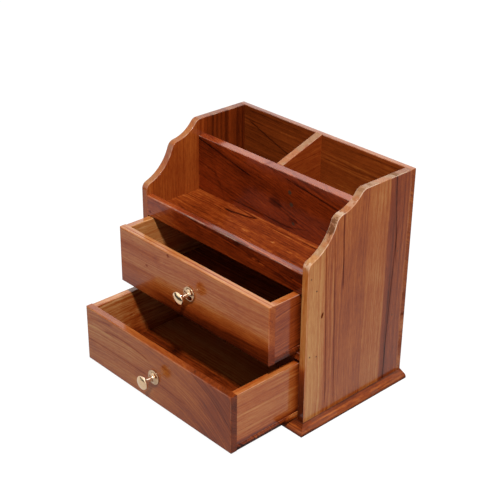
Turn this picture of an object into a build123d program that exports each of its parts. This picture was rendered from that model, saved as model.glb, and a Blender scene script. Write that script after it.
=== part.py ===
from build123d import *
import os

# Wooden desk organizer: two drawers, a tray above them and two pen compartments behind the tray.
# Lengths are in millimetres. The origin is the centre of the base board's underside, +Z is up,
# and the drawers open towards -Y. The drawers stand part open, as they are stored.

# Case
case_width = 250.0
case_depth = 147.5
case_height = 242.6
side_thickness = 8.5
back_thickness = 6.5
edge_ease = 0.8

# Base board: past the case its top slopes down to a rounded nose, on the front and both sides
base_thickness = 8.5
base_overhang = 8.8
base_front_overhang = 11.2
base_slope_drop = 4.0
base_nose_round = 4.0
base_foot_round = 1.3

# Drawer openings, from the base upwards
lower_opening_height = 69.2
divider_thickness = 8.5
upper_opening_height = 66.1

# Tray above the drawers
shelf_thickness = 8.0
rail_thickness = 8.0
rail_height = 22.5
rail_round = 1.6

# Pen compartments behind the tray
wall_setback = 73.3
wall_thickness = 11.0
wall_drop = 19.0
partition_thickness = 9.0
partition_offset = -2.0

# Scalloped front of the side panels: brow in front, shoulder in the middle, crest at the top
crest_setback = 71.5
shoulder_setback = 37.6
shoulder_drop = 17.8
brow_drop = 38.8
upper_scallop_depth = 5.1
lower_scallop_depth = 8.0
crest_round = 9.0
shoulder_round = 10.0
brow_round = 7.8

# Drawers
drawer_front_thickness = 8.0
drawer_side_thickness = 8.0
drawer_back_thickness = 8.0
drawer_bottom_thickness = 7.2
drawer_side_gap = 2.0
drawer_glide_gap = 0.3
drawer_stop_gap = 0.3
upper_drawer_top_gap = 1.1
lower_drawer_top_gap = 4.2
drawer_reveal = 0.3
drawer_front_ease = 1.1
upper_drawer_pull = 38.8
lower_drawer_pull = 87.7
upper_drawer_shift = -1.0
lower_drawer_shift = -0.3

# Knobs: turned brass head and neck on a flared foot ring, held by a nut inside the drawer.
# They sit a little to the left of the middle of the drawer front, and below it.
knob_offset = -0.4
knob_drop = 0.8
knob_projection = 18.2
knob_head_diameter = 15.0
knob_head_dome = 1.7
knob_head_rim = 2.3
knob_head_back = 2.4
knob_neck_base_diameter = 5.4
knob_neck_top_diameter = 4.2
knob_stud_diameter = 3.9
knob_stud_tail = 2.0
knob_head_ease = 0.9
foot_diameter = 16.2
foot_rim = 2.0
foot_height = 6.0
foot_collar_diameter = 6.4
foot_flare_depth = 1.7
foot_ease = 0.5
washer_diameter = 9.0
washer_thickness = 0.8
nut_width = 7.0
nut_height = 3.2
stud_clearance = 0.15
thread_clearance = 0.05

# Panel pins and dowels
pin_diameter = 1.2
pin_length = 20.0
pin_head_diameter = 1.8
pin_head_height = 0.8
pin_clearance = 0.05
pin_stagger = 1.5
dowel_diameter = 4.0
dowel_length = 22.0
dowel_front_depth = 5.0
dowel_clearance = 0.05

# Cutting tools run this far past the faces that they open
cut_overrun = 2.0

# Places of the pins and dowels, as shares of the board that they follow
divider_pin_shares = (0.04, 0.105, 0.9)
shelf_pin_shares = (0.03, 0.9)
rail_pin_share = 0.8
back_side_pin_shares = (0.2, 0.5, 0.9)
back_shelf_pin_shares = (-0.7, 0.25, 0.7)
back_partition_pin_shares = (0.3, 0.7)
base_side_pin_shares = (0.12, 0.5, 0.88)
base_back_pin_shares = (-0.6, 0.0, 0.6)
shelf_wall_pin_shares = (-0.7, 0.3, 0.7)
shelf_partition_pin_share = 0.5
drawer_bottom_pin_shares = (0.25, 0.55, 0.85)
drawer_back_pin_shares = (0.3, 0.75)
drawer_tail_pin_shares = (-0.5, 0.5)
dowel_shares = (0.3, 0.75)

# Levels and planes of the case
base_depth = case_depth + base_front_overhang
base_width = case_width + 2 * base_overhang
front_y = base_front_overhang - base_depth / 2
rear_y = base_depth / 2
back_y = rear_y - back_thickness
outer_x = case_width / 2
inner_x = outer_x - side_thickness
divider_z = base_thickness + lower_opening_height
upper_floor_z = divider_z + divider_thickness
shelf_z = upper_floor_z + upper_opening_height
tray_z = shelf_z + shelf_thickness
rail_y = front_y + rail_thickness
wall_y = front_y + wall_setback
pen_y = wall_y + wall_thickness
wall_top_z = case_height - wall_drop
crest_y = front_y + crest_setback
shoulder_y = front_y + shoulder_setback
shoulder_z = case_height - shoulder_drop
brow_z = shoulder_z - brow_drop

TOWARDS_LEFT = (-1, 0, 0)
TOWARDS_RIGHT = (1, 0, 0)
TOWARDS_FRONT = (0, -1, 0)
TOWARDS_REAR = (0, 1, 0)
UPWARDS = (0, 0, 1)
ON_BASE = (Align.CENTER, Align.CENTER, Align.MIN)


def board(low, high):
    """A square-edged board between two opposite corners."""
    size = [b - a for a, b in zip(low, high)]
    middle = [(a + b) / 2 for a, b in zip(low, high)]
    return Pos(*middle) * Box(*size)


def at_share(low, high, share):
    """The place at a share of the way from low to high."""
    return low + (high - low) * share


def ease_top(solid, axis, radius):
    """Round the top edges that run along an axis."""
    return fillet(solid.faces().sort_by(Axis.Z)[-1].edges().filter_by(axis), radius)


def pin(seat, grow=0, overrun=0):
    """A panel pin driven from its seat plane, or the hole for one."""
    head = Cylinder(pin_head_diameter / 2 + grow, pin_head_height + grow + overrun, align=ON_BASE)
    shank = Cylinder(pin_diameter / 2 + grow, pin_length + grow, align=ON_BASE)
    return seat * (Pos(0, 0, -overrun) * head + shank)


def dowel(seat, grow=0):
    """A dowel that runs from its seat plane, or the hole for one."""
    blank = Cylinder(dowel_diameter / 2 + grow, dowel_length + 2 * grow, align=ON_BASE)
    return seat * (Pos(0, 0, -grow) * blank)


def pinned(solid, seats):
    """A board with the holes of the pins that pass into it."""
    return solid - [pin(seat, pin_clearance, cut_overrun) for seat in seats]


def doweled(solid, seats):
    """A board with the blind holes of its dowels."""
    return solid - [dowel(seat, dowel_clearance) for seat in seats]


def group(solids):
    """Equal fasteners as one group of separate solids."""
    return Compound(children=list(solids))


def rounded_face(outline, rounds):
    """The face in a closed outline, with some corners rounded; rounds gives each corner and radius."""
    face = make_face(outline)
    for corner, radius in rounds:
        face = fillet(face.vertices().sort_by_distance(corner)[0], radius)
    return face


def turned(outline, rounds):
    """A turned piece from its closed outline, radius along X and height along Z."""
    return revolve(Plane.XZ * rounded_face(outline, rounds), axis=Axis.Z)


def side_pin_seats(side):
    """Pins through a side panel into the divider, the shelf and the rail; side is -1 or 1."""
    inwards = TOWARDS_RIGHT if side < 0 else TOWARDS_LEFT
    places = []
    for index, share in enumerate(divider_pin_shares):
        lift = pin_stagger * (-1) ** index
        places.append((at_share(front_y, back_y, share), divider_z + divider_thickness / 2 + lift))
    for index, share in enumerate(shelf_pin_shares):
        lift = pin_stagger * (-1) ** (index + 1)
        places.append((at_share(rail_y, back_y, share), shelf_z + shelf_thickness / 2 + lift))
    places.append((front_y + rail_thickness / 2, shelf_z + rail_height * rail_pin_share))
    return [Plane((side * outer_x, y, z), z_dir=inwards) for y, z in places]


def back_pin_seats():
    """Pins through the back panel into the sides, the shelf, the divider and the partition."""
    places = []
    for side in (-1, 1):
        for share in back_side_pin_shares:
            places.append((side * (outer_x - side_thickness / 2), at_share(0, case_height, share)))
    for share in back_shelf_pin_shares:
        places.append((inner_x * share, shelf_z + shelf_thickness / 2))
        places.append((inner_x * share, divider_z + divider_thickness / 2))
    for share in back_partition_pin_shares:
        places.append((partition_offset, at_share(tray_z, case_height, share)))
    return [Plane((x, rear_y, z), z_dir=TOWARDS_FRONT) for x, z in places]


def base_pin_seats():
    """Pins up through the base board into the sides and the back panel."""
    places = []
    for side in (-1, 1):
        for share in base_side_pin_shares:
            places.append((side * (outer_x - side_thickness / 2), at_share(front_y, back_y, share)))
    for share in base_back_pin_shares:
        places.append((inner_x * share, rear_y - back_thickness / 2))
    return [Plane((x, y, 0), z_dir=UPWARDS) for x, y in places]


def shelf_pin_seats():
    """Pins up through the shelf into the compartment wall and the partition."""
    places = [(inner_x * share, wall_y + wall_thickness / 2) for share in shelf_wall_pin_shares]
    places.append((partition_offset, at_share(pen_y, back_y, shelf_partition_pin_share)))
    return [Plane((x, y, shelf_z), z_dir=UPWARDS) for x, y in places]


def base_board():
    """Base board with a sloped nose along its front and its two sides, square at the rear."""
    end_x = base_width / 2
    end_y = base_depth / 2
    nose_z = base_thickness - base_slope_drop
    across = Polyline(
        (-end_x, 0), (end_x, 0), (end_x, nose_z), (outer_x, base_thickness),
        (-outer_x, base_thickness), (-end_x, nose_z), close=True)
    across = rounded_face(across, (((-end_x, nose_z), base_nose_round), ((end_x, nose_z), base_nose_round)))
    along = Polyline(
        (-end_y, 0), (end_y, 0), (end_y, base_thickness), (front_y, base_thickness),
        (-end_y, nose_z), close=True)
    along = rounded_face(along, (((-end_y, nose_z), base_nose_round),))
    sides = extrude(Plane((0, 0, 0), x_dir=TOWARDS_RIGHT, z_dir=TOWARDS_FRONT) * across, end_y, both=True)
    front = extrude(Plane((0, 0, 0), x_dir=TOWARDS_REAR, z_dir=TOWARDS_RIGHT) * along, end_x, both=True)
    solid = sides & front
    rear = solid.faces().sort_by(Axis.Y)[-1].edges()
    return fillet(solid.faces().sort_by(Axis.Z)[0].edges() - rear, base_foot_round)


def side_outline():
    """Outline of a side panel: two hollow scallops climb from the front edge to the top."""
    outline = Curve() + [
        Line((front_y, base_thickness), (front_y, brow_z)),
        SagittaArc((front_y, brow_z), (shoulder_y, shoulder_z), -lower_scallop_depth),
        SagittaArc((shoulder_y, shoulder_z), (crest_y, case_height), -upper_scallop_depth),
        Line((crest_y, case_height), (back_y, case_height)),
        Line((back_y, case_height), (back_y, base_thickness)),
        Line((back_y, base_thickness), (front_y, base_thickness)),
    ]
    rounds = (
        ((front_y, brow_z), brow_round),
        ((shoulder_y, shoulder_z), shoulder_round),
        ((crest_y, case_height), crest_round),
    )
    return rounded_face(outline, rounds)


def side_panel(side):
    """A side panel with its front and top edges eased; side is -1 for left and 1 for right."""
    panel = extrude(Plane.YZ * side_outline(), side_thickness)
    bottom = panel.faces().sort_by(Axis.Z)[0].edges()
    rear = panel.faces().sort_by(Axis.Y)[-1].edges()
    shown = panel.edges() - panel.edges().filter_by(Axis.X) - bottom - rear
    panel = fillet(shown, edge_ease)
    return Pos(inner_x if side > 0 else -outer_x, 0, 0) * panel


def partition():
    """Board between the two pen compartments, its top sloping up from the wall to the back."""
    outline = Polyline(
        (pen_y, tray_z), (pen_y, wall_top_z), (back_y, case_height), (back_y, tray_z), close=True)
    solid = extrude(Plane.YZ * make_face(outline), partition_thickness / 2, both=True)
    long_top = solid.edges().filter_by(GeomType.LINE) - solid.edges().filter_by(Axis.X)
    slope = (long_top - long_top.filter_by(Axis.Z)).sort_by(Axis.Z)[-2:]
    return Pos(partition_offset, 0, 0) * fillet(slope, edge_ease)


def case_nodes():
    """All pieces of the case, by node name."""
    left_seats = side_pin_seats(-1)
    right_seats = side_pin_seats(1)
    back_seats = back_pin_seats()
    base_seats = base_pin_seats()
    shelf_seats = shelf_pin_seats()

    back_panel = board((-outer_x, back_y, base_thickness), (outer_x, rear_y, case_height))
    back_panel = fillet(back_panel.edges() - back_panel.faces().sort_by(Axis.Z)[0].edges(), edge_ease)
    divider = board((-inner_x, front_y, divider_z), (inner_x, back_y, upper_floor_z))
    divider = fillet(divider.faces().sort_by(Axis.Y)[0].edges().filter_by(Axis.X), edge_ease)
    shelf = board((-inner_x, rail_y, shelf_z), (inner_x, back_y, tray_z))
    rail = board((-inner_x, front_y, shelf_z), (inner_x, rail_y, shelf_z + rail_height))
    rail = ease_top(rail, Axis.X, rail_round)
    wall = board((-inner_x, wall_y, tray_z), (inner_x, pen_y, wall_top_z))
    wall = ease_top(wall, Axis.X, edge_ease)

    return {
        "base_board": pinned(base_board(), base_seats),
        "left_side_panel": pinned(side_panel(-1), left_seats + back_seats + base_seats),
        "right_side_panel": pinned(side_panel(1), right_seats + back_seats + base_seats),
        "back_panel": pinned(back_panel, back_seats + base_seats),
        "drawer_divider": pinned(divider, left_seats + right_seats + back_seats),
        "tray_shelf": pinned(shelf, left_seats + right_seats + back_seats + shelf_seats),
        "tray_front_rail": pinned(rail, left_seats + right_seats),
        "compartment_wall": pinned(wall, shelf_seats),
        "compartment_partition": pinned(partition(), shelf_seats + back_seats),
        "left_side_pins": group(pin(seat) for seat in left_seats),
        "right_side_pins": group(pin(seat) for seat in right_seats),
        "back_pins": group(pin(seat) for seat in back_seats),
        "base_pins": group(pin(seat) for seat in base_seats),
        "shelf_pins": group(pin(seat) for seat in shelf_seats),
    }


def knob_foot():
    """Flared brass ring that the neck of the knob stands on."""
    bore = knob_stud_diameter / 2 + stud_clearance
    collar = foot_collar_diameter / 2
    rim = foot_diameter / 2
    outline = Curve() + [
        Line((bore, 0), (rim, 0)),
        Line((rim, 0), (rim, foot_rim)),
        SagittaArc((rim, foot_rim), (collar, foot_height), foot_flare_depth),
        Line((collar, foot_height), (bore, foot_height)),
        Line((bore, foot_height), (bore, 0)),
    ]
    return turned(outline, [((rim, foot_rim), foot_ease)])


def knob(grip_depth):
    """Turned knob: domed head, thin neck and a stud that reaches grip_depth behind the foot."""
    stud = knob_stud_diameter / 2
    neck_base = knob_neck_base_diameter / 2
    neck_top = knob_neck_top_diameter / 2
    head = knob_head_diameter / 2
    dome_z = knob_projection - knob_head_dome
    rim_z = dome_z - knob_head_rim
    neck_z = rim_z - knob_head_back
    dome_radius = (head ** 2 + knob_head_dome ** 2) / (2 * knob_head_dome)
    outline = Curve() + [
        Line((0, -grip_depth), (stud, -grip_depth)),
        Line((stud, -grip_depth), (stud, foot_height)),
        Line((stud, foot_height), (neck_base, foot_height)),
        Line((neck_base, foot_height), (neck_top, neck_z)),
        Line((neck_top, neck_z), (head, rim_z)),
        Line((head, rim_z), (head, dome_z)),
        RadiusArc((head, dome_z), (0, knob_projection), -dome_radius),
        Line((0, knob_projection), (0, -grip_depth)),
    ]
    return turned(outline, [((head, rim_z), knob_head_ease), ((head, dome_z), knob_head_ease)])


def knob_washer():
    """Flat washer between the nut and the drawer front."""
    bore = knob_stud_diameter / 2 + stud_clearance
    disc = Cylinder(washer_diameter / 2, washer_thickness, align=ON_BASE)
    return disc - Cylinder(bore, 2 * (washer_thickness + cut_overrun))


def knob_nut():
    """Hexagon nut on the stud of the knob."""
    bore = knob_stud_diameter / 2 + thread_clearance
    blank = extrude(RegularPolygon(nut_width / 2, 6, major_radius=False), nut_height)
    return blank - Cylinder(bore, 2 * (nut_height + cut_overrun))


def drawer_nodes(name, floor_z, opening_height, top_gap, pull, middle_x):
    """All pieces of one drawer, by node name, pulled out of the case by pull; middle_x is its middle."""
    low_z = floor_z + drawer_glide_gap
    high_z = floor_z + opening_height - top_gap
    box_top_z = high_z - drawer_reveal
    deck_z = low_z + drawer_bottom_thickness
    face_y = front_y - pull
    box_y = face_y + drawer_front_thickness
    tail_y = back_y - drawer_stop_gap - pull
    tail_inner_y = tail_y - drawer_back_thickness
    front_x = inner_x - drawer_side_gap
    side_x = front_x - drawer_reveal
    bay_x = side_x - drawer_side_thickness
    side_middle_x = side_x - drawer_side_thickness / 2
    tail_middle_y = tail_y - drawer_back_thickness / 2

    pin_seats = []
    dowel_seats = []
    for side in (-1, 1):
        inwards = TOWARDS_RIGHT if side < 0 else TOWARDS_LEFT
        for share in drawer_bottom_pin_shares:
            place = (middle_x + side * side_middle_x, at_share(box_y, tail_y, share), low_z)
            pin_seats.append(Plane(place, z_dir=UPWARDS))
        for share in drawer_back_pin_shares:
            place = (middle_x + side * side_x, tail_middle_y, at_share(deck_z, box_top_z, share))
            pin_seats.append(Plane(place, z_dir=inwards))
        for share in dowel_shares:
            dowel_z = at_share(deck_z, box_top_z, share)
            place = (middle_x + side * side_middle_x, box_y - dowel_front_depth, dowel_z)
            dowel_seats.append(Plane(place, z_dir=TOWARDS_REAR))
    for share in drawer_tail_pin_shares:
        pin_seats.append(Plane((middle_x + bay_x * share, tail_middle_y, low_z), z_dir=UPWARDS))

    knob_z = (low_z + high_z) / 2 - knob_drop
    knob_seat = Plane((middle_x + knob_offset, face_y, knob_z), x_dir=TOWARDS_RIGHT, z_dir=TOWARDS_FRONT)
    nut_depth = drawer_front_thickness + washer_thickness + nut_height
    stud_bore = knob_stud_diameter / 2 + stud_clearance
    stud_hole = Cylinder(stud_bore, 2 * (drawer_front_thickness + cut_overrun))

    front = board((middle_x - front_x, face_y, low_z), (middle_x + front_x, box_y, high_z))
    front = fillet(front.faces().sort_by(Axis.Y)[0].edges(), drawer_front_ease) - knob_seat * stud_hole
    left = board((middle_x - side_x, box_y, deck_z), (middle_x - bay_x, tail_y, box_top_z))
    right = board((middle_x + bay_x, box_y, deck_z), (middle_x + side_x, tail_y, box_top_z))
    tail = board((middle_x - bay_x, tail_inner_y, deck_z), (middle_x + bay_x, tail_y, box_top_z))
    bottom = board((middle_x - front_x, box_y, low_z), (middle_x + front_x, tail_y, deck_z))
    bottom = fillet(bottom.faces().filter_by(Axis.X).edges().filter_by(Axis.Y), edge_ease)

    pieces = {
        "front": doweled(front, dowel_seats),
        "left_side": doweled(pinned(ease_top(left, Axis.Y, edge_ease), pin_seats), dowel_seats),
        "right_side": doweled(pinned(ease_top(right, Axis.Y, edge_ease), pin_seats), dowel_seats),
        "back": pinned(ease_top(tail, Axis.X, edge_ease), pin_seats),
        "bottom": pinned(bottom, pin_seats),
        "pins": group(pin(seat) for seat in pin_seats),
        "dowels": group(dowel(seat) for seat in dowel_seats),
        "knob": knob_seat * knob(nut_depth + knob_stud_tail),
        "knob_foot": knob_seat * knob_foot(),
        "knob_washer": knob_seat * (Pos(0, 0, -drawer_front_thickness - washer_thickness) * knob_washer()),
        "knob_nut": knob_seat * (Pos(0, 0, -nut_depth) * knob_nut()),
    }
    return {f"{name}_drawer_{piece}": solid for piece, solid in pieces.items()}


nodes = case_nodes()
nodes.update(drawer_nodes(
    "lower", base_thickness, lower_opening_height, lower_drawer_top_gap, lower_drawer_pull,
    lower_drawer_shift))
nodes.update(drawer_nodes(
    "upper", upper_floor_z, upper_opening_height, upper_drawer_top_gap, upper_drawer_pull,
    upper_drawer_shift))

os.makedirs("parts", exist_ok=True)
for node_name, node_solid in nodes.items():
    export_step(node_solid, f"parts/{node_name}.step")
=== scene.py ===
"""Desktop drawer organizer: lacquered teak, brass knobs and steel panel pins, in a white studio."""
import math
from dataclasses import dataclass

import bpy
from mathutils import Matrix, Vector

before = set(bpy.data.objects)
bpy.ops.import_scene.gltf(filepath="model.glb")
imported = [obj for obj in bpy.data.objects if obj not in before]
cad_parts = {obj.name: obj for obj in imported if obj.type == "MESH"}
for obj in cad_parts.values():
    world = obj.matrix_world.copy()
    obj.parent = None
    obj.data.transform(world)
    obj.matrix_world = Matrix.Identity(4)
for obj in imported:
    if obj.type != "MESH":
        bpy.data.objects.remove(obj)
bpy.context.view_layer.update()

MILLIMETRES = 1000.0
AXES = "XYZ"

# Camera: it looks down at the front right corner with a long lens
CAMERA_AZIMUTH = math.radians(46.789)
CAMERA_ELEVATION = math.radians(27.619)
CAMERA_ROLL = math.radians(0.647)
CAMERA_DISTANCE = 1.238488
CAMERA_AIM = Vector((-0.020822, -0.006577, 0.124891))
CAMERA_REACH = 100.0
SENSOR_WIDTH = 36.0
LENS = 83.78

# Key lamp, in metres and watts
KEY_DIRECTION = Vector((0.40, -0.354, 0.863)).normalized()
KEY_DISTANCE = 1.6
KEY_SIZE = 0.12
KEY_POWER = 27.0

# White room: strengths of its light, each with the slopes between which it fades in
WHITE = (1.0, 1.0, 1.0, 1.0)
AMBIENT = 0.38
FRONT_GLOW = 0.8
FRONT_GLOW_FORWARD = (-0.5, -0.8)
FRONT_GLOW_UPWARD = (0.55, 0.45)
BACK_GLOW = 1.0
BACK_GLOW_BACKWARD = (0.35, 0.50)
BACK_GLOW_UPWARD = (0.15, 0.30)
BACK_FILL = 0.9
BACK_FILL_BACKWARD = (0.3, 1.2)
BACK_FILL_UPWARD = (0.6, 0.2)

# White floor, in metres. Only reflections see its gaps, and its gloss from left to right
FLOOR_SIZE = 8.0
FLOOR_BOUNCE = 0.5
FLOOR_SHEET = 0.95
FLOOR_WHITE = 0.92
FLOOR_SHOWN = 1.08
FLOOR_GLOSS = ((-0.30, 0.93), (0.06, 0.61), (0.10, 0.61), (0.15, 1.00), (0.45, 0.50))
FRONT_GAP = (-0.33, -0.95)
LEFT_GAP = -1.2
GAP_BLUR = 0.04
GAP_TONE = 0.04

# Teak under clear lacquer, from the darkest growth lines to the palest sapwood
TEAK_TONES = (
    (0.00, (0.015, 0.0025, 0.0012)),
    (0.20, (0.075, 0.0095, 0.0014)),
    (0.40, (0.190, 0.028, 0.004)),
    (0.55, (0.310, 0.068, 0.010)),
    (0.75, (0.445, 0.178, 0.052)),
    (1.00, (0.640, 0.370, 0.175)),
)
NO_CHANGE = 0.5
# Pale edge colour: real wear, and partly a painted highlight on rounded arrises
WORN_EDGE_AND_HIGHLIGHT = (0.62, 0.47, 0.35, 1.0)
SANDED_EDGE = (0.285, 0.162, 0.082, 1.0)
CHIPPED_EDGE = (0.085, 0.023, 0.006, 1.0)
FILLER = (0.036, 0.023, 0.013, 1.0)
# Red-brown mixed into the shaded rear of the lower drawer's floor: painted fill light
PAINTED_FILL_COLOUR = (0.40, 0.075, 0.008, 1.0)

# Grain: steps of each pattern per mm, along the grain and across it
RING_WANDER = (0.007, 0.022)
RING_FADE = (0.012, 0.10)
FIBRES = (0.016, 0.85)
FLECKS = (0.10, 0.55)
PORES = (0.11, 2.6)
CLOUDS = (0.02, 0.03)
BANDS = 0.05
GROWTH_RINGS = 0.33
NOISE_MIDDLE = 0.5
OPEN_PORES = (0.60, 0.72)
GROWTH_FADE = (0.35, 0.65)
FAINT_GROWTH = 0.3
GROWTH_SWING = 1.2
BEND_POWER = 3.0
SEED_STEP = 100.0

# How far the wander and the flecks push the rings, zones, streaks and knots about, in mm
RINGS_ASTRAY = 14.0
ZONES_ASTRAY = 3.0
STREAKS_ASTRAY = 1.5
KNOTS_ASTRAY = (12.0, 5.0)
CHIPS_ASTRAY = (16.0, 10.0)

# How far each pattern shifts the tone; a pair gives the least, and what a full figure or roughness adds
BAND_TONE = 0.28
GROWTH_TONE = 0.48
FIBRE_TONE = (0.20, 0.16)
FLECK_TONE = (0.20, 0.30)
CLOUD_TONE = (0.16, 0.20)
PORE_TONE = 0.10
STREAK_TAPER = 0.12
STREAK_LOSS_AT_END = 0.7
KNOT_CORE = 0.15

# Which way a surface faces, from where it starts to count to where it counts in full
END_FACING = (0.5, 0.85)
TOP_FACING = (0.6, 0.9)
EDGE_FACING = (0.7, 0.3)
ARRIS_FACING = (0.98, 0.88)
ROUNDED_FROM_EDGE = (0.08, 0.30)
ROUNDED_FROM_FACE = (0.99, 0.92)

# Wear and painted highlights on edges: patches and specks per mm, the least that the patches leave, and
# the depth of the specks
PATCH_STEP = 0.06
PATCHES = (0.44, 0.58)
SPECK_STEP = 0.3
DARK_SPECKS = (0.60, 0.72)
PALE_SPECKS = (0.46, 0.34)
DARK_SPECK_DEPTH = 0.30
PALE_SPECK_DEPTH = 0.14
SANDED_BLUR = 6
SANDED_LEAST = 0.4
WEAR_AND_HIGHLIGHT_LEAST = 0.35
LOW_ARRIS = 0.25

# Lacquer, how much of it each fault takes off, and the wood below it
LACQUER_ROUGHNESS = 0.14
LACQUER_IOR = 1.36
LOST_AT_ARRIS = 0.6
LOST_AT_WEAR = 0.4
LOST_AT_END = 0.4
LOST_AT_MARK = 2.5
WOOD_ROUGHNESS = 0.46
PORE_ROUGHNESS = 0.2
GROWTH_GLOSS = 0.15
FIBRE_RELIEF = 0.4
WOOD_BUMP = 0.25
WOOD_BUMP_DEPTH = 0.00015

# Brass of the knobs; darkening is the share of tarnish, and on the feet it also stands for a painted
# dark reflection
BRASS = (0.93, 0.65, 0.40, 1.0)
# Paler brass on the sides of the knobs: painted highlight
HIGHLIGHT_BRASS = (0.97, 0.84, 0.66, 1.0)
TARNISH = (0.46, 0.30, 0.18, 1.0)
KNOB_AGE = 0.3
KNOB_FOOT_TARNISH_AND_SHADE = 0.8
TARNISH_STEP = 0.16
TARNISHED = (0.45, 0.75)
KNOB_SIDE_FACING = (0.5, 0.1)
BRASS_ROUGHNESS = 0.12
TARNISH_ROUGHNESS = 0.2
TURNING_MARKS = 2.2
TURNING_BUMP = 0.12
TURNING_BUMP_DEPTH = 0.00005

# Steel of the panel pins
STEEL = (0.085, 0.040, 0.020, 1.0)
RUST = (0.120, 0.042, 0.018, 1.0)
RUST_STEP = 1.4
RUSTED = (0.35, 0.60)
STEEL_SHINE = 0.1
STEEL_ROUGHNESS = 0.55
RUST_ROUGHNESS = 0.2


def span(node, axis):
    """The lowest and highest place of a CAD node on one axis, in mm."""
    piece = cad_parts[node]
    corners = [piece.matrix_world @ Vector(corner) for corner in piece.bound_box]
    places = [corner[AXES.index(axis)] * MILLIMETRES for corner in corners]
    return min(places), max(places)


class Field:
    """A value that changes over a surface: a shader socket that takes part in Python sums."""

    def __init__(self, sheet, socket):
        self.sheet = sheet
        self.socket = socket

    def __add__(self, other):
        return self.sheet.math("ADD", self, other)

    def __radd__(self, other):
        return self.sheet.math("ADD", other, self)

    def __sub__(self, other):
        return self.sheet.math("SUBTRACT", self, other)

    def __rsub__(self, other):
        return self.sheet.math("SUBTRACT", other, self)

    def __mul__(self, other):
        return self.sheet.math("MULTIPLY", self, other)

    def __rmul__(self, other):
        return self.sheet.math("MULTIPLY", other, self)

    def __truediv__(self, other):
        return self.sheet.math("DIVIDE", self, other)

    def __rtruediv__(self, other):
        return self.sheet.math("DIVIDE", other, self)

    def __pow__(self, other):
        return self.sheet.math("POWER", self, other)

    def __abs__(self):
        return self.sheet.math("ABSOLUTE", self)


class Sheet:
    """The nodes of one material, or of the world."""

    def __init__(self, tree):
        self.tree = tree
        tree.nodes.clear()

    def add(self, kind, settings=None, sockets=None, out=0):
        """One node: settings first, then values or links on its sockets. Gives one of its outputs."""
        node = self.tree.nodes.new(kind)
        for name, value in (settings or {}).items():
            if name == "stops":
                self.set_stops(node.color_ramp, value)
            else:
                setattr(node, name, value)
        for name, value in (sockets or {}).items():
            self.plug(node.inputs[name], value)
        return Field(self, node.outputs[out]) if node.outputs else None

    def plug(self, socket, value):
        """A link into a socket, or a plain value on it."""
        if isinstance(value, Field):
            self.tree.links.new(value.socket, socket)
        else:
            socket.default_value = value

    def set_stops(self, ramp, stops):
        """The stops of a colour ramp, each a place and a colour."""
        while len(ramp.elements) < len(stops):
            ramp.elements.new(1.0)
        for element, (place, colour) in zip(ramp.elements, stops):
            element.position = place
            element.color = (*colour, 1.0)

    def math(self, operation, *values):
        return self.add("ShaderNodeMath", {"operation": operation}, dict(enumerate(values)))

    def ease(self, value, low, high):
        """0 up to low, 1 from high on, smooth between; low may be the larger."""
        return self.add("ShaderNodeMapRange", {"interpolation_type": "SMOOTHSTEP"},
                        {"Value": value, "From Min": low, "From Max": high})

    def clip(self, value):
        """A value held between 0 and 1."""
        return self.add("ShaderNodeClamp", {}, {"Value": value})

    def vector(self, x, y, z):
        return self.add("ShaderNodeCombineXYZ", {}, {"X": x, "Y": y, "Z": z})

    def split(self, vector):
        """The three components of a vector, by axis."""
        node = self.add("ShaderNodeSeparateXYZ", {}, {"Vector": vector}).socket.node
        return {axis: Field(self, node.outputs[axis]) for axis in AXES}

    def noise(self, vector, detail=2.0, roughness=0.5):
        return self.add("ShaderNodeTexNoise", {},
                        {"Vector": vector, "Scale": 1.0, "Detail": detail, "Roughness": roughness})

    def mottle(self, place, step, detail):
        """Noise that is alike in all directions; step is its steps per mm."""
        spot = self.vector(place["X"] * step, place["Y"] * step, place["Z"] * step)
        return self.noise(spot, detail)

    def drawn_out(self, steps, along, across, deep, detail=2.0, roughness=0.5, shift=0.0):
        """Noise drawn out along the grain; steps are its steps per mm along the grain and across it."""
        stretch, spread = steps
        spot = self.vector(along * stretch + shift, across * spread, deep * spread)
        return self.noise(spot, detail, roughness)

    def layers(self, distance, scale, detail, roughness=0.5):
        """Uneven layers along one distance."""
        return self.add("ShaderNodeTexNoise", {"noise_dimensions": "1D"},
                        {"W": distance, "Scale": scale, "Detail": detail, "Roughness": roughness})

    def mix(self, factor, first, second):
        """Two colours, mixed by a factor."""
        return self.add("ShaderNodeMix", {"data_type": "RGBA"}, {0: factor, 6: first, 7: second}, out=2)

    def grey(self, tone):
        return self.add("ShaderNodeCombineColor", {}, {"Red": tone, "Green": tone, "Blue": tone})

    def ray(self, kind):
        """1 where the ray is of one kind, such as Is Glossy Ray."""
        return self.add("ShaderNodeLightPath", out=kind)

    def shown(self):
        """1 for what the camera or a reflection sees, 0 for light that the object receives."""
        seen = self.math("MAXIMUM", self.ray("Is Camera Ray"), self.ray("Is Glossy Ray"))
        return self.math("MAXIMUM", seen, self.ray("Is Transmission Ray"))

    def place(self):
        """The point on the object, in millimetres, by axis."""
        parts = self.split(self.add("ShaderNodeTexCoord", out="Object"))
        return {axis: part * MILLIMETRES for axis, part in parts.items()}

    def facing(self):
        """How squarely the surface faces each axis, from 0 to 1."""
        parts = self.split(self.add("ShaderNodeTexCoord", out="Normal"))
        return {axis: abs(part) for axis, part in parts.items()}


@dataclass
class Streak:
    """A dark line between two points of a board's face, bowed at its middle; most are growth lines, and
    the wide one on the upper drawer's front is painted shade. Lengths in mm.
    """
    start: tuple
    end: tuple
    width: float
    depth: float
    bow: float = 0.0


@dataclass
class Knot:
    """An oval spot on a board's face: its middle and half lengths, in mm. A depth below 0 is pale."""
    middle: tuple
    reach: tuple
    depth: float = 1.0


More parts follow.
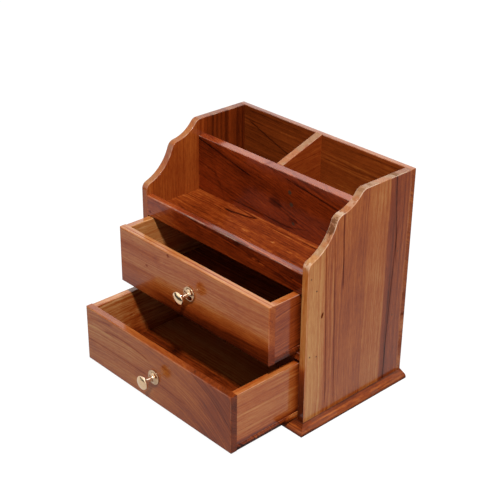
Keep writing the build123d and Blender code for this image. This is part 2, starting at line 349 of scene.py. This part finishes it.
@dataclass
class Board:
    """How a board was sawn and finished, and the light and shade painted into some boards' colour.
    Points on its face give the place along the grain, then across it, in mm. In drift, levels and
    edge_levels a tone of 0.5 changes nothing."""
    grain: str
    face: str
    seed: float
    tone: float = 0.5
    tilt: float = 0.0
    slant: float = 0.6
    figure: float = 1.0
    rough: float = 0.0
    red: float = 1.0
    bends: tuple = ()
    zones: tuple = ()
    drift: tuple = ()
    levels: tuple = ()
    edge_levels: tuple = ()
    # Painted fill light: stops across the board for the share of the red-brown fill colour
    painted_fill: tuple = ()
    streaks: tuple = ()
    top_streaks: tuple = ()
    knots: tuple = ()
    # Dark chips; those with a depth below 0 are painted highlights
    chips_and_highlights: tuple = ()
    fillers: tuple = ()
    end_tone: float = -0.08
    # Top faces paler or darker than the rest of the board: painted light
    painted_top_light: float = 0.0
    wear_and_highlight: float = 0.25
    lacquer: float = 1.0
    sides: str = ""
    sanded: float = 0.0
    sanded_from: float = 0.0
    mitred: bool = False


@dataclass
class Grain:
    """The grain of one board: places along it, across it and into the board in mm, and its patterns."""
    along: Field
    across: Field
    deep: Field
    wander: Field
    bands: Field
    growth: Field
    fibre: Field
    fleck: Field
    cloud: Field
    pores: Field


def streak_depth(sheet, streak, along, across):
    """How far one streak darkens each point."""
    (start, start_across), (end, end_across) = streak.start, streak.end
    share = sheet.clip((along - start) / (end - start))
    straight = start_across + (end_across - start_across) * share
    off_line = (across - (straight + share * (1 - share) * (4 * streak.bow))) / streak.width
    spread = 1 / (1 + off_line * off_line) ** 2
    taper = sheet.ease(share, 0.0, STREAK_TAPER) * sheet.ease(share, 1.0, 1 - STREAK_TAPER)
    return spread * taper * streak.depth


def knot_depth(sheet, knot, along, across):
    """How far one knot darkens each point."""
    off_along = (along - knot.middle[0]) / knot.reach[0]
    off_across = (across - knot.middle[1]) / knot.reach[1]
    return sheet.ease(off_along * off_along + off_across * off_across, 1.0, KNOT_CORE) * knot.depth


def tone_by_place(sheet, stops, place):
    """Tone that changes with the place in one direction; each stop gives a place and a tone."""
    low = stops[0][0]
    high = stops[-1][0]
    spots = [((spot - low) / (high - low), (tone, tone, tone)) for spot, tone in stops]
    ramp = sheet.add("ShaderNodeValToRGB", {"stops": spots}, {"Fac": (place - low) / (high - low)})
    return sheet.add("ShaderNodeSeparateColor", {}, {"Color": ramp})


def mitred_side(sheet, place):
    """1 on the mitred strips along the sides of the base board, 0 on the rest of it."""
    side_x = span("right_side_panel", "X")[1]
    front_y = span("right_side_panel", "Y")[0]
    past_side = (abs(place["X"]) - side_x) / (span("base_board", "X")[1] - side_x)
    past_front = (front_y - place["Y"]) / (front_y - span("base_board", "Y")[0])
    return sheet.math("GREATER_THAN", past_side, sheet.math("MAXIMUM", past_front, 0.0))


def board_grain(sheet, board, place):
    """The grain of one board, from the way it was sawn."""
    along = place[board.grain]
    across = place[board.face]
    deep = place[AXES.replace(board.grain, "").replace(board.face, "")]
    if board.mitred:
        turn = (across - along) * mitred_side(sheet, place)
        along = along + turn
        across = across - turn

    run = across - along * board.tilt
    for start, reach, drop in board.bends:
        past = sheet.math("MAXIMUM", (along - start) / reach, 0.0)
        run = run + past ** BEND_POWER * drop
    wander = sheet.drawn_out(RING_WANDER, along, across, deep, shift=board.seed) - NOISE_MIDDLE
    rings = run + deep * board.slant + wander * RINGS_ASTRAY + board.seed * SEED_STEP
    fade = sheet.drawn_out(RING_FADE, along, rings, deep, shift=board.seed)
    clear = FAINT_GROWTH + sheet.ease(fade, *GROWTH_FADE) * GROWTH_SWING
    stretch, spread = CLOUDS
    clouds = sheet.vector(along * stretch, across * spread, deep * spread + board.seed)
    return Grain(
        along, across, deep, wander,
        bands=sheet.layers(rings, BANDS, 1.0) - NOISE_MIDDLE,
        growth=(sheet.layers(rings, GROWTH_RINGS, 3.0, 0.6) - NOISE_MIDDLE) * clear,
        fibre=sheet.drawn_out(FIBRES, along, rings, deep, 3.0, 0.6) - NOISE_MIDDLE,
        fleck=sheet.drawn_out(FLECKS, along, rings, deep, 3.0, 0.65) - NOISE_MIDDLE,
        cloud=sheet.noise(clouds) - NOISE_MIDDLE,
        pores=sheet.ease(sheet.drawn_out(PORES, along, rings, deep, 1.0), *OPEN_PORES),
    )


def shift_of(pair, share):
    """The shift of a pattern: the least, and what the share of the rest adds."""
    least, rest = pair
    return least + rest * share


def board_tone(sheet, board, place, grain, edge):
    """How pale each point of a board is, before its streaks and knots."""
    tone = board.tone
    if board.zones:
        tone = tone_by_place(sheet, board.zones, grain.across + grain.wander * ZONES_ASTRAY)
    tone = tone + grain.bands * (BAND_TONE * board.figure)
    tone = tone + grain.growth * (GROWTH_TONE * board.figure)
    tone = tone + grain.fibre * shift_of(FIBRE_TONE, board.figure)
    tone = tone + grain.fleck * shift_of(FLECK_TONE, board.rough)
    tone = tone + grain.cloud * shift_of(CLOUD_TONE, board.rough)
    tone = tone - grain.pores * PORE_TONE
    shifts = (
        (board.drift, grain.along, 1.0),
        (board.levels, place["Z"], 1.0),
        (board.edge_levels, place["Z"], edge),
    )
    for stops, direction, share in shifts:
        if stops:
            tone = tone + (tone_by_place(sheet, stops, direction) - NO_CHANGE) * share
    return tone


def board_marks(sheet, board, grain, end, top):
    """How far the streaks and knots of a board darken each point."""
    marks = 0.0
    across = grain.across + grain.wander * STREAKS_ASTRAY
    for streak in board.streaks:
        shade = streak_depth(sheet, streak, grain.along, across)
        marks = marks + shade * (1 - end * STREAK_LOSS_AT_END)
    for streak in board.top_streaks:
        marks = marks + streak_depth(sheet, streak, grain.along, grain.deep) * top
    along_astray, across_astray = KNOTS_ASTRAY
    for knot in board.knots:
        along = grain.along + grain.fleck * along_astray
        across = grain.across + grain.fleck * across_astray
        marks = marks + knot_depth(sheet, knot, along, across)
    return marks


def edge_rubs_and_highlights(sheet, board, place, grain):
    """Rubs on a sanded edge: above 0 where it is chipped, below 0 where it is pale, from rubbing and
    from painted highlights.
    """
    specks = sheet.mottle(place, SPECK_STEP, 3.0)
    rubs_and_highlights = sheet.ease(specks, *DARK_SPECKS) * DARK_SPECK_DEPTH
    rubs_and_highlights = rubs_and_highlights - sheet.ease(specks, *PALE_SPECKS) * (PALE_SPECK_DEPTH * board.sanded)
    jagged = specks - NOISE_MIDDLE
    along_astray, across_astray = CHIPS_ASTRAY
    for edge_spot in board.chips_and_highlights:
        along = grain.along + jagged * along_astray
        across = grain.across + jagged * across_astray
        rubs_and_highlights = rubs_and_highlights + knot_depth(sheet, edge_spot, along, across)
    return rubs_and_highlights


def new_material(name):
    """A material, and the empty sheet of its nodes."""
    material = bpy.data.materials.new(name)
    material.use_nodes = True
    return material, Sheet(material.node_tree)


def teak(name, board):
    """Lacquered teak, sawn and finished as a board says, with the light and shade that some boards
    paint into their colour.
    """
    material, sheet = new_material(name)
    place = sheet.place()
    facing = sheet.facing()
    end = 0.0 if board.mitred else sheet.ease(facing[board.grain], *END_FACING)
    top = sheet.ease(facing["Z"], *TOP_FACING)
    edge = sheet.ease(facing[board.sides], *EDGE_FACING) if board.sides else 0.0

    grain = board_grain(sheet, board, place)
    marks = board_marks(sheet, board, grain, end, top)
    tone = board_tone(sheet, board, place, grain, edge) - marks
    # End grain takes its own tone; top faces take painted light
    tone = tone + end * board.end_tone + top * board.painted_top_light
    stops = [(spot, (r, g / board.red, b / board.red)) for spot, (r, g, b) in TEAK_TONES]
    colour = sheet.add("ShaderNodeValToRGB", {"stops": stops}, {"Fac": tone})
    # Painted fill light: a red-brown mixed in where the board lies in shade
    if board.painted_fill:
        colour = sheet.mix(tone_by_place(sheet, board.painted_fill, grain.across), colour, PAINTED_FILL_COLOUR)
    for spot in board.fillers:
        colour = sheet.mix(knot_depth(sheet, spot, grain.along, grain.across), colour, FILLER)

    patches = sheet.ease(sheet.mottle(place, PATCH_STEP, 2.0), *PATCHES)
    if board.sides:
        off_face = facing[board.sides]
        low_end = board.sanded_from - SANDED_BLUR
        high_end = board.sanded_from + SANDED_BLUR
        raised = sheet.ease(place["Z"], low_end, high_end)
        arris = sheet.ease(off_face, *ROUNDED_FROM_EDGE) * sheet.ease(off_face, *ROUNDED_FROM_FACE)
        arris = arris * (LOW_ARRIS + raised * (1 - LOW_ARRIS))
        bare = edge * raised
        rubs_and_highlights = edge_rubs_and_highlights(sheet, board, place, grain)
        chipped = sheet.clip(rubs_and_highlights) * bare
        sanded = bare * (SANDED_LEAST + patches * (1 - SANDED_LEAST)) * board.sanded
        colour = sheet.mix(sanded, colour, SANDED_EDGE)
        # Pale rubs and painted highlights on the edge
        colour = sheet.mix(sheet.clip(0 - rubs_and_highlights) * bare, colour, WORN_EDGE_AND_HIGHLIGHT)
        colour = sheet.mix(chipped, colour, CHIPPED_EDGE)
    else:
        widest = sheet.math("MAXIMUM", sheet.math("MAXIMUM", facing["X"], facing["Y"]), facing["Z"])
        arris = sheet.ease(widest, *ARRIS_FACING)
        chipped = 0.0
    # Pale arrises: wear, and partly a painted highlight
    worn_and_highlight = arris * (WEAR_AND_HIGHLIGHT_LEAST + patches * (1 - WEAR_AND_HIGHLIGHT_LEAST)) * board.wear_and_highlight
    colour = sheet.mix(worn_and_highlight, colour, WORN_EDGE_AND_HIGHLIGHT)

    lost = arris * LOST_AT_ARRIS + worn_and_highlight * LOST_AT_WEAR + end * LOST_AT_END
    lost = lost + marks * LOST_AT_MARK + chipped
    relief = grain.fibre * FIBRE_RELIEF - grain.pores
    bump = sheet.add("ShaderNodeBump", {}, {
        "Strength": WOOD_BUMP, "Distance": WOOD_BUMP_DEPTH, "Height": relief})
    shader = sheet.add("ShaderNodeBsdfPrincipled", {}, {
        "Base Color": colour,
        "Roughness": WOOD_ROUGHNESS + grain.pores * PORE_ROUGHNESS - grain.growth * GROWTH_GLOSS,
        "Specular IOR Level": 0.0,
        "Coat Weight": (1 - sheet.clip(lost)) * board.lacquer,
        "Coat Roughness": LACQUER_ROUGHNESS,
        "Coat IOR": LACQUER_IOR,
        "Normal": bump,
    })
    sheet.add("ShaderNodeOutputMaterial", {}, {"Surface": shader})
    return material


def brass(name, darkening):
    """Polished brass with faint turning marks, paler on the sides of the knob as a painted highlight.
    """
    material, sheet = new_material(name)
    place = sheet.place()
    dull = sheet.ease(sheet.mottle(place, TARNISH_STEP, 4.0), *TARNISHED)
    brass_with_highlight = sheet.mix(sheet.ease(sheet.facing()["Y"], *KNOB_SIDE_FACING), BRASS, HIGHLIGHT_BRASS)
    marks = sheet.layers(place["Y"], TURNING_MARKS, 3.0, 0.7)
    bump = sheet.add("ShaderNodeBump", {}, {
        "Strength": TURNING_BUMP, "Distance": TURNING_BUMP_DEPTH, "Height": marks})
    shader = sheet.add("ShaderNodeBsdfPrincipled", {}, {
        "Base Color": sheet.mix(sheet.clip(dull + darkening) * darkening, brass_with_highlight, TARNISH),
        "Metallic": 1.0,
        "Roughness": BRASS_ROUGHNESS + dull * (TARNISH_ROUGHNESS * darkening),
        "Normal": bump,
    })
    sheet.add("ShaderNodeOutputMaterial", {}, {"Surface": shader})
    return material


def pin_steel(name):
    """Dark steel of the panel pins, under brown rust and lacquer."""
    material, sheet = new_material(name)
    rust = sheet.ease(sheet.mottle(sheet.place(), RUST_STEP, 3.0), *RUSTED)
    shader = sheet.add("ShaderNodeBsdfPrincipled", {}, {
        "Base Color": sheet.mix(rust, STEEL, RUST),
        "Specular IOR Level": STEEL_SHINE,
        "Roughness": STEEL_ROUGHNESS + rust * RUST_ROUGHNESS,
    })
    sheet.add("ShaderNodeOutputMaterial", {}, {"Surface": shader})
    return material


# Boards of the case: the axis of the grain, the axis across the face and a seed come first
CASE_BOARDS = {
    "base_board": Board(
        "X", "Y", 3.1, slant=1.2, figure=0.9, rough=0.7, red=0.83, wear_and_highlight=0.05, lacquer=0.35, mitred=True,
        # Front strip darker, under the lower drawer: painted shade
        zones=((-80, 0.30), (-69, 0.31), (-60, 0.40), (134, 0.40)),
        # Dark at the bottom and under the panels, lighter on the nose of the moulding: painted light
        # and shade
        levels=((0, 0.24), (1.5, 0.30), (3, 0.46), (4.4, 0.60), (5.4, 0.52), (7.6, 0.47), (8.7, 0.34)),
    ),
    "left_side_panel": Board(
        "Z", "Y", 5.7, figure=0.35, end_tone=0.14, wear_and_highlight=0.3, sides="X", sanded=0.35, sanded_from=182,
        zones=((-68, 0.50), (-62, 0.52), (-59, 0.47), (-29, 0.45), (2, 0.47), (7, 0.38), (12, 0.36),
               (17, 0.25), (21, 0.31), (26, 0.19), (29, 0.36), (32, 0.24), (35, 0.36), (38, 0.25),
               (41, 0.35), (45, 0.16), (48, 0.25), (50, 0.37), (56, 0.34), (61, 0.27),
               (63, 0.20), (66, 0.30), (69, 0.20), (73, 0.22)),
    ),
    "right_side_panel": Board(
        "Z", "Y", 8.4, figure=0.6, red=0.90, end_tone=0.0, wear_and_highlight=0.55, sides="X", sanded=0.8,
        sanded_from=182,
        zones=((-68, 0.57), (-65, 0.67), (-49, 0.69), (-44, 0.63), (-41, 0.525), (-29, 0.515),
               (-23, 0.475), (-11, 0.53), (1, 0.49), (12, 0.47), (15, 0.56), (31, 0.57), (42, 0.54),
               (44, 0.40), (53, 0.39), (57, 0.44), (73, 0.42)),
        edge_levels=((8, 0.06), (30, 0.07), (56, 0.17), (66, 0.30), (74, 0.52), (100, 0.57),
                     (150, 0.54), (180, 0.50)),
        streaks=(
            Streak((5, -37.2), (215, -46.1), 0.8, 0.26),
            Streak((0, -24.7), (215, -34.1), 0.7, 0.22),
            Streak((140, -19.0), (236, -22.9), 0.8, 0.30),
            Streak((-35, 49.0), (200, 57.6), 0.9, 0.24, -1.0),
            Streak((140, 58.6), (275, 49.2), 0.6, 0.26, -0.6),
            Streak((-20, 46.1), (140, 52.1), 3.2, 0.06, -0.5),
        ),
        knots=(Knot((124.6, -47.2), (2.6, 1.9), 0.40),),
        chips_and_highlights=(
            Knot((212.5, -35.8), (5.5, 3.5), 0.85),
            Knot((219.0, -31.5), (3.5, 3.0), 0.75),
            Knot((204, -42), (2.5, 2.0), 0.5),
            Knot((240.5, 3.4), (3.0, 2.5), 0.35),
            Knot((242, 15), (9, 4), 0.3),
            Knot((242, 52), (9, 4), 0.4),
            # Pale spots on the edge: painted highlights
            Knot((224.5, -24), (4.0, 4.0), -0.35),
            Knot((184, -66), (4.0, 4.0), -0.3),
            Knot((230, -9), (4.0, 5.0), -0.2),
        ),
    ),
    "back_panel": Board(
        "X", "Z", 11.3, tone=0.305, tilt=-0.04, figure=0.55, red=0.84, end_tone=0.05, painted_top_light=0.15,
        drift=((-85, 0.50), (35, 0.59)),
        streaks=(
            Streak((-112, 227.5), (-40, 202.5), 0.8, 0.26, -1.0),
            Streak((2, 217), (92, 217.5), 0.8, 0.16),
            Streak((50, 238), (116, 237), 1.0, 0.14),
            Streak((-112, 238), (-20, 236.5), 1.0, 0.12, 0.6),
        ),
        knots=(
            Knot((125, 64), (7, 9), -0.12),
            Knot((125, 19), (7, 9), -0.10),
            Knot((125, 78), (6, 2.2), 0.18),
            Knot((125, 42), (6, 7), 0.08),
            Knot((125, 100), (6, 7), 0.08),
        ),
    ),
    # Dark tone for the divider's front edge, which sits in shade between the drawers: painted shade
    "drawer_divider": Board("X", "Y", 14.2, tone=0.27),
    "tray_shelf": Board(
        "X", "Y", 17.9, tone=0.395, tilt=-0.05, red=0.98, figure=0.85, rough=0.9,
        drift=((-116, 0.55), (-40, 0.50), (40, 0.47)),
        streaks=(
            Streak((-60, 5.3), (-16, 0.3), 1.4, 0.26),
            Streak((-62, -8.0), (-17, 0.3), 1.8, 0.40, -1.4),
            Streak((-24, -2.5), (80, -1.9), 0.8, 0.15),
            Streak((50, -2.3), (80, -2.9), 0.9, 0.22),
        ),
        knots=(
            Knot((-8, -26), (10, 2.4), -0.20),
            Knot((32, -24), (3, 2.4), -0.20),
            Knot((58, -27), (5, 1.8), -0.14),
            Knot((44, -40), (4, 1.8), -0.12),
        ),
    ),
    "tray_front_rail": Board(
        "X", "Z", 21.6, tone=0.46, tilt=-0.04, red=1.2, figure=0.95, rough=0.8, painted_top_light=0.13,
        drift=((-110, 0.50), (-85, 0.47), (-50, 0.37), (0, 0.36), (82, 0.32)),
        streaks=(Streak((36, 166.8), (96, 160.5), 0.9, 0.18, -0.3),),
        knots=(
            Knot((-112, 157), (2.5, 2.5), 0.18),
            Knot((25, 171), (6, 3.0), 0.10),
            Knot((102, 164), (3.0, 2.0), 0.12),
            Knot((50, 164.3), (4.0, 1.4), -0.22),
            Knot((62, 162.8), (5.0, 1.3), -0.22),
        ),
    ),
    "compartment_wall": Board(
        "X", "Z", 24.5, tone=0.31, tilt=-0.18, red=1.2, figure=0.5, rough=0.6, painted_top_light=0.165,
        lacquer=0.85,
        streaks=(
            Streak((-118, 221), (-94, 216.5), 0.9, 0.26),
            Streak((-104, 218.5), (-30, 202.2), 0.9, 0.28),
            Streak((-16, 224), (26, 216.4), 0.8, 0.14),
            Streak((14, 218), (106, 205.5), 1.0, 0.22, 0.6),
            Streak((-120, 194.5), (-84, 186.5), 1.3, 0.12, 1.0),
            Streak((-92, 189), (-74, 162), 5.0, 0.08, 3.0),
            Streak((-68, 166.3), (32, 164.6), 1.0, 0.20),
            Streak((20, 164), (52, 171), 0.8, 0.12),
            Streak((6, 183), (38, 174.0), 1.5, 0.14),
        ),
        knots=(Knot((4, 186), (12, 6.0), 0.17), Knot((30, 174), (8, 4), 0.12)),
        fillers=(
            Knot((24.6, 204.3), (3.1, 3.1), 0.9),
            Knot((27.3, 191.4), (3.2, 3.0), 0.9),
            Knot((30.7, 171), (2.8, 2.4), 0.8),
        ),
    ),
    "compartment_partition": Board(
        "Y", "Z", 27.7, tone=0.45, tilt=0.1, figure=0.3, red=1.08, painted_top_light=0.17, sides="X",
        sanded=0.75, sanded_from=200,
    ),
}

# Boards of each drawer
UPPER_DRAWER_BOARDS = {
    "front": Board(
        "X", "Z", 31.2, tilt=0.02, figure=0.6, end_tone=-0.07, painted_top_light=0.07, wear_and_highlight=0.1,
        # Darker towards the bottom, where the lower drawer below blocks the light: painted shade
        zones=((86, 0.44), (93, 0.48), (104, 0.53), (113, 0.57), (121, 0.59), (151, 0.60)),
        streaks=(
            Streak((-135, 134.5), (-44, 136.5), 3.6, 0.10),
            Streak((-135, 108), (-52, 113), 4.6, 0.10),
            Streak((10, 96), (130, 104), 1.6, 0.08, -1.5),
            # A wide dark band along the lower right: painted shade, not a growth line
            Streak((-75, 84), (260, 97), 15.0, 0.30),
        ),
        top_streaks=(Streak((-140, -103.4), (150, -102.6), 0.7, 0.22),),
        knots=(
            Knot((-70.4, 122.3), (2.0, 2.0), 0.22),
            Knot((-34.6, 147.9), (2.2, 2.6), 0.26),
        ),
    ),
    "left_side": Board("Y", "Z", 34.8, tone=0.72, rough=0.5),
    "right_side": Board(
        "Y", "Z", 37.1, tone=0.45, tilt=0.10, figure=0.8, painted_top_light=0.16,
        # Darker band where the side goes into the case: painted shade
        drift=((-84, 0.50), (-76, 0.45), (-70, 0.37), (-66, 0.30), (-58, 0.34), (-40, 0.42),
               (40, 0.44)),
        levels=((92, 0.41), (98, 0.44), (110, 0.50), (151, 0.50)),
    ),
    "back": Board("X", "Z", 41.4, tone=0.45, rough=0.5),
    "bottom": Board(
        "X", "Y", 44.9, tone=0.45, rough=0.6, wear_and_highlight=0.05,
        # Edge darker under the drawer's side: painted shade
        levels=((86.5, 0.26), (89.3, 0.28), (90.3, 0.42), (93.1, 0.44), (93.7, 0.50)),
    ),
}
LOWER_DRAWER_BOARDS = {
    "front": Board(
        "X", "Z", 47.3, tone=0.565, figure=0.55, red=0.88, end_tone=-0.12, painted_top_light=-0.08, wear_and_highlight=0.1,
        drift=((-40, 0.50), (50, 0.42), (95, 0.335)),
        levels=((8.8, 0.42), (12, 0.47), (16, 0.50), (73, 0.50)),
        bends=((-30, 100, 17.4), (-50, -65, 5.0)),
        streaks=(
            Streak((-122, 34.6), (-8, 36.4), 0.9, 0.18, 0.9),
            Streak((4, 35.2), (50, 31.2), 1.0, 0.12),
            Streak((-88, 56), (-6, 54.5), 1.2, 0.18, 4.2),
            Streak((-118, 58), (-66, 70), 1.5, 0.10, 1.0),
            Streak((52, 76), (116, 36), 0.8, 0.12, 3.0),
            Streak((66, 76), (118, 45), 0.8, 0.10, 2.0),
            Streak((78, 76), (122, 52), 0.7, 0.08, 1.5),
        ),
    ),
    "left_side": Board(
        "Y", "Z", 51.8, tone=0.69, red=1.05, rough=0.8,
        # Darker band towards the rear, around the edge of the upper drawer's shadow: painted shade
        drift=((-148, 0.50), (-120, 0.51), (-110, 0.41), (-98, 0.33), (-92, 0.38), (-84, 0.50),
               (-20, 0.50)),
        levels=((16, 0.36), (26, 0.40), (43, 0.43), (47, 0.50), (73, 0.53)),
        knots=(Knot((-97, 45), (9, 1.3), -0.14),),
    ),
    "right_side": Board(
        "Y", "Z", 54.6, tone=0.60, tilt=0.01, figure=0.6,
        # Darker band where the side goes into the case: painted shade
        drift=((-140, 0.50), (-76, 0.49), (-71, 0.42), (-66, 0.30), (-58, 0.33), (-40, 0.40),
               (40, 0.42)),
        levels=((16, 0.18), (17, 0.19), (18, 0.26), (19, 0.34), (21, 0.41), (23, 0.45), (26, 0.50),
                (73, 0.50)),
    ),
    "back": Board("X", "Z", 57.2, tone=0.45, rough=0.5),
    "bottom": Board(
        # Floor of the lower drawer: darker at its front, where the lamp reaches it, and paler at its
        # rear with a red-brown mixed in, where it lies in the drawer's shade: painted light and shade
        "X", "Y", 61.5, rough=0.8, wear_and_highlight=0.05, lacquer=0.45, painted_fill=((-84, 0.0), (-66, 0.55)),
        zones=((-150, 0.28), (-84, 0.24), (-77, 0.53), (-66, 0.70), (-20, 0.66)),
        levels=((8.8, 0.10), (11.2, 0.12), (12.6, 0.46), (14, 0.52), (15.4, 0.38), (16, 0.50)),
        streaks=(
            Streak((-52, -73.4), (-12, -72.9), 1.3, 0.10),
            Streak((-26, -88), (14, -86), 1.6, 0.08),
        ),
        knots=(Knot((125, -106), (20, 62), -0.28),),
    ),
}
DOWEL = Board("Y", "Z", 64.3, tone=0.72)


def give(node, material):
    """One material all over a CAD node."""
    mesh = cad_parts[node].data
    mesh.materials.clear()
    mesh.materials.append(material)


def dress_case(steel):
    """Teak on each board of the case, steel on its pins."""
    for node, board in CASE_BOARDS.items():
        give(node, teak(node + "_teak", board))
    for node in ("left_side_pins", "right_side_pins", "back_pins", "base_pins", "shelf_pins"):
        give(node, steel)


def dress_drawer(drawer, boards, steel, metal, foot_metal, peg):
    """Teak on each board of a drawer, brass on its knob, steel on its pins."""
    for board_name, board in boards.items():
        node = f"{drawer}_{board_name}"
        give(node, teak(node + "_teak", board))
    give(drawer + "_knob", metal)
    for piece in ("knob_foot", "knob_washer", "knob_nut"):
        give(f"{drawer}_{piece}", foot_metal)
    give(drawer + "_pins", steel)
    give(drawer + "_dowels", peg)


def studio_world():
    """White studio: white to the camera and in reflections, a soft fill for the rest."""
    world = bpy.data.worlds.new("studio_world")
    bpy.context.scene.world = world
    world.use_nodes = True
    sheet = Sheet(world.node_tree)
    towards = sheet.split(sheet.add("ShaderNodeTexCoord", out="Generated"))
    forward = sheet.ease(towards["Y"], *FRONT_GLOW_FORWARD)
    front = forward * sheet.ease(towards["Z"], *FRONT_GLOW_UPWARD) * FRONT_GLOW
    backward = sheet.ease(towards["Y"], *BACK_GLOW_BACKWARD)
    back = backward * sheet.ease(towards["Z"], *BACK_GLOW_UPWARD) * BACK_GLOW
    back_left = sheet.ease(towards["Y"] - towards["X"], *BACK_FILL_BACKWARD)
    soft = AMBIENT + back_left * sheet.ease(towards["Z"], *BACK_FILL_UPWARD) * BACK_FILL
    strength = soft + sheet.shown() * (1 - soft) + (front + back) * sheet.ray("Is Glossy Ray")
    light = sheet.add("ShaderNodeBackground", {}, {"Color": WHITE, "Strength": strength})
    sheet.add("ShaderNodeOutputWorld", {}, {"Surface": light})


def floor_white():
    """White of the floor: it shines for the camera and in reflections, and keeps a soft shadow."""
    material, sheet = new_material("studio_floor_white")
    mirrored = sheet.ray("Is Glossy Ray")
    spot = sheet.split(sheet.add("ShaderNodeTexCoord", out="Object"))
    gap_start, gap_end = FRONT_GAP
    front_gap = sheet.ease(spot["Y"], gap_start, gap_start - GAP_BLUR)
    front_gap = front_gap * sheet.ease(spot["Y"], gap_end - GAP_BLUR, gap_end)
    left_gap = sheet.ease(spot["X"], LEFT_GAP, LEFT_GAP - GAP_BLUR)
    gap = sheet.math("MAXIMUM", front_gap, left_gap) * mirrored
    tone = FLOOR_BOUNCE + sheet.ray("Is Camera Ray") * (FLOOR_SHEET - FLOOR_BOUNCE)
    matt = sheet.add("ShaderNodeBsdfDiffuse", {}, {
        "Color": sheet.grey(tone - gap * (FLOOR_BOUNCE - GAP_TONE))})
    gloss = tone_by_place(sheet, FLOOR_GLOSS, spot["X"])
    glow = sheet.add("ShaderNodeEmission", {}, {
        "Color": sheet.grey(FLOOR_SHOWN + mirrored * (gloss - FLOOR_SHOWN))})
    share = sheet.shown() * FLOOR_WHITE * (1 - gap)
    both = sheet.add("ShaderNodeMixShader", {}, {0: share, 1: matt, 2: glow})
    sheet.add("ShaderNodeOutputMaterial", {}, {"Surface": both})
    return material


def studio_floor():
    """Large white floor under the object."""
    half = FLOOR_SIZE / 2
    corners = [(-half, -half, 0), (half, -half, 0), (half, half, 0), (-half, half, 0)]
    mesh = bpy.data.meshes.new("studio_floor")
    mesh.from_pydata(corners, [], [(0, 1, 2, 3)])
    mesh.materials.append(floor_white())
    floor = bpy.data.objects.new("studio_floor", mesh)
    bpy.context.scene.collection.objects.link(floor)


def studio_key():
    """Soft box high up, to the front right of the object."""
    light = bpy.data.lights.new("studio_key", "AREA")
    light.shape = "SQUARE"
    light.size = KEY_SIZE
    light.energy = KEY_POWER
    lamp = bpy.data.objects.new("studio_key", light)
    lamp.rotation_euler = KEY_DIRECTION.to_track_quat("Z", "Y").to_euler()
    lamp.location = KEY_DIRECTION * KEY_DISTANCE
    bpy.context.scene.collection.objects.link(lamp)


def studio_camera():
    """Long lens from the front right, a little above the object."""
    back = Vector((math.sin(CAMERA_AZIMUTH) * math.cos(CAMERA_ELEVATION),
                   -math.cos(CAMERA_AZIMUTH) * math.cos(CAMERA_ELEVATION),
                   math.sin(CAMERA_ELEVATION)))
    level_right = Vector((math.cos(CAMERA_AZIMUTH), math.sin(CAMERA_AZIMUTH), 0.0))
    level_up = back.cross(level_right)
    right = level_right * math.cos(CAMERA_ROLL) + level_up * math.sin(CAMERA_ROLL)
    up = level_up * math.cos(CAMERA_ROLL) - level_right * math.sin(CAMERA_ROLL)
    data = bpy.data.cameras.new("studio_camera")
    data.sensor_width = SENSOR_WIDTH
    data.lens = LENS
    data.clip_end = CAMERA_REACH
    camera = bpy.data.objects.new("studio_camera", data)
    turn = Matrix((right, up, back)).transposed().to_4x4()
    camera.matrix_world = Matrix.Translation(CAMERA_AIM + back * CAMERA_DISTANCE) @ turn
    bpy.context.scene.collection.objects.link(camera)
    bpy.context.scene.camera = camera


steel = pin_steel("panel_pin_steel")
metal = brass("knob_brass", KNOB_AGE)
# Darker brass on the knob feet: tarnish, and a painted dark reflection
foot_metal = brass("knob_foot_brass", KNOB_FOOT_TARNISH_AND_SHADE)
upper_peg = teak("dowel_wood", DOWEL)
lower_peg = teak("dowel_wood_lower", DOWEL)
dress_case(steel)
dress_drawer("upper_drawer", UPPER_DRAWER_BOARDS, steel, metal, foot_metal, upper_peg)
dress_drawer("lower_drawer", LOWER_DRAWER_BOARDS, steel, metal, foot_metal, lower_peg)
studio_world()
studio_floor()
studio_key()
studio_camera()
bpy.context.scene.view_settings.view_transform = "Standard"
